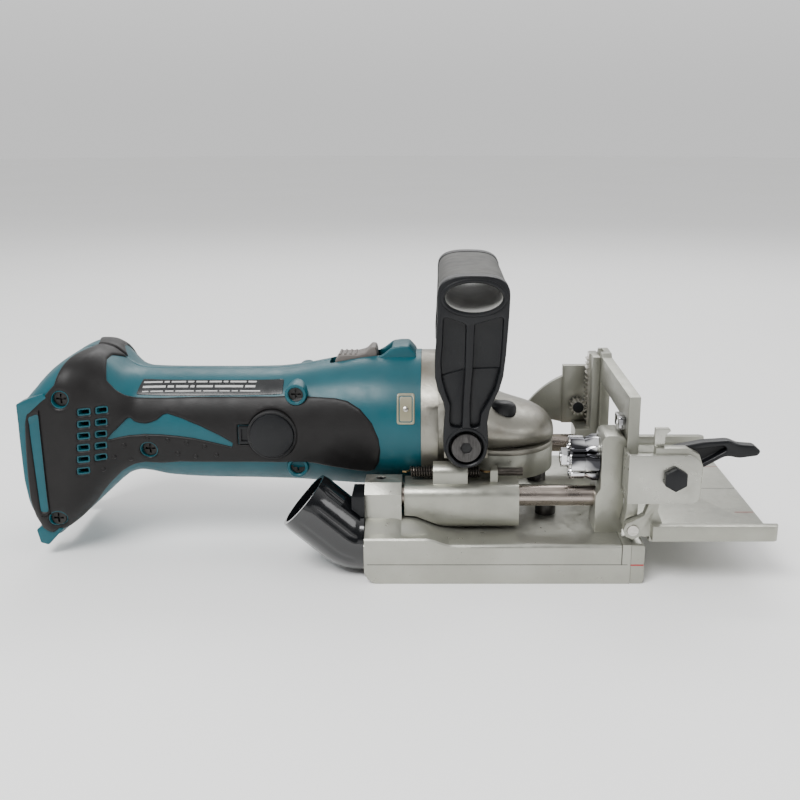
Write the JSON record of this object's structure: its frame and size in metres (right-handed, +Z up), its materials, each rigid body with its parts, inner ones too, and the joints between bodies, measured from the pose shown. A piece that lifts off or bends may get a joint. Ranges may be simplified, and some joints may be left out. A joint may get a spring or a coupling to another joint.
{
  "type": "biscuit joiner",
  "caption": "Hand-held cordless biscuit joiner with a spring-returned plunging blade, a bridge handle, a depth turret and a tilting, height-adjustable guide.",
  "frame": {"origin": "on the flat sole of the base, straight below the blade's axis with the power unit drawn back", "axes": "+X forward, the way the blade plunges; +Y to the tool's left; +Z up from the sole"},
  "size_m": [0.361, 0.141, 0.144],
  "materials": {
    "casting": "cast, fine satin",
    "sole_casting": "cast, machined sole",
    "shell_teal": "fine texture",
    "soft_black": "soft grip, fine grain",
    "plastic_black": "fine texture",
    "nozzle_black": "gloss",
    "plated_steel": "satin",
    "bar_steel": "ground",
    "dark_steel": "blackened",
    "chrome": "bright",
    "saw_steel": "ground",
    "bronze": "plain",
    "motor_iron": "laminated",
    "carbon": "sintered carbon",
    "label_black": "satin film",
    "window_beige": "smooth",
    "switch_grey": "ridged",
    "rubber_free_black": "satin"
  },
  "bodies": {
    "base": {"base_casting": "sole_casting", "blade_cover": "sole_casting", "front_plate": "casting", "base_screws": "dark_steel", "guide_bars": "bar_steel", "bar_set_screws": "dark_steel", "fence_posts": "casting", "height_rack": "plated_steel", "dust_nozzle": "nozzle_black", "nozzle_holder": "plastic_black", "turret_axle": "chrome"},
    "turret": {"depth_turret": "chrome"},
    "power_unit": {"bearing_box": "casting", "bar_bushings": "bronze", "stop_striker": "plated_steel", "tension_spring_right": "dark_steel", "tension_spring_left": "dark_steel", "gear_housing": "casting", "gear_housing_screws": "dark_steel", "d_handle": "plastic_black", "handle_bolts": "plated_steel", "shaft_lock_spring": "plated_steel", "housing_right": "shell_teal", "housing_left": "shell_teal", "grip_cover_right": "soft_black", "grip_cover_left": "soft_black", "housing_screws": "dark_steel", "brush_caps": "plastic_black", "carbon_brushes": "carbon", "rating_label": "label_black", "housing_window": "window_beige", "switch_unit": "plastic_black", "battery_terminals": "plated_steel", "motor_field": "motor_iron", "motor_bearings": "plated_steel", "spindle_bearings": "plated_steel"},
    "shaft_lock": {"shaft_lock_button": "plastic_black"},
    "switch": {"switch_knob": "switch_grey", "switch_rod": "plastic_black"},
    "rotor": {"armature_shaft": "plated_steel", "armature_core": "motor_iron", "commutator": "bronze", "cooling_fan": "rubber_free_black", "drive_pinion": "plated_steel"},
    "blade_spindle": {"spindle": "plated_steel", "inner_flange": "plated_steel", "saw_blade": "saw_steel", "lock_nut": "dark_steel", "bevel_gear": "plated_steel"},
    "fence": {"fence_slide": "casting", "angle_sector": "casting", "hinge_pins": "plated_steel"},
    "height_gear": {"height_knob": "rubber_free_black", "height_pinion": "plated_steel"},
    "guide": {"angle_guide": "casting", "clamp_bracket": "plated_steel", "clamp_bolt": "dark_steel", "angle_pointer": "plated_steel"},
    "lever": {"angle_lever": "plastic_black"}
  },
  "joints": [
    {"name": "plunge", "type": "slide", "parent": "base", "child": "power_unit", "axis": [1, 0, 0], "range_m": [0, 0.0344], "stiffness_N_per_m": 350, "springref_m": -0.02, "deforming": ["tension_spring_right", "tension_spring_left"]},
    {"name": "spindle_spin", "type": "hinge", "parent": "power_unit", "child": "blade_spindle", "pos_m": [0, 0, 0.01], "axis": [0, 0, 1], "continuous": true},
    {"name": "rotor_spin", "type": "hinge", "parent": "power_unit", "child": "rotor", "pos_m": [-0.08, 0, 0.0635], "axis": [1, 0, 0], "continuous": true},
    {"name": "turret_turn", "type": "hinge", "parent": "base", "child": "turret", "pos_m": [0.038, -0.038, 0.0539], "axis": [1, 0, 0], "continuous": true},
    {"name": "switch_slide", "type": "slide", "parent": "power_unit", "child": "switch", "axis": [1, 0, 0], "range_m": [0, 0.006]},
    {"name": "shaft_lock_press", "type": "slide", "parent": "power_unit", "child": "shaft_lock", "axis": [0, 0, -1], "range_m": [0, 0.004], "stiffness_N_per_m": 250, "springref_m": -0.003, "deforming": ["shaft_lock_spring"]},
    {"name": "fence_height", "type": "slide", "parent": "base", "child": "fence", "axis": [0, 0, 1], "range_m": [0, 0.028]},
    {"name": "height_knob_turn", "type": "hinge", "parent": "fence", "child": "height_gear", "pos_m": [0.046, 0.058, 0.056], "axis": [0, 1, 0], "range_deg": [-5, 330]},
    {"name": "guide_tilt", "type": "hinge", "parent": "fence", "child": "guide", "pos_m": [0.0584, 0, 0.0265], "axis": [0, -1, 0], "range_deg": [0, 90]},
    {"name": "lever_turn", "type": "hinge", "parent": "guide", "child": "lever", "pos_m": [0.0759, -0.056, 0.0535], "axis": [0, -1, 0], "range_deg": [0, 60]}
  ],
  "couplings": [
    {"joint": "rotor_spin", "follows": "spindle_spin", "ratio": -2.6364},
    {"joint": "height_knob_turn", "follows": "fence_height", "rad_per_m": 200}
  ]
}
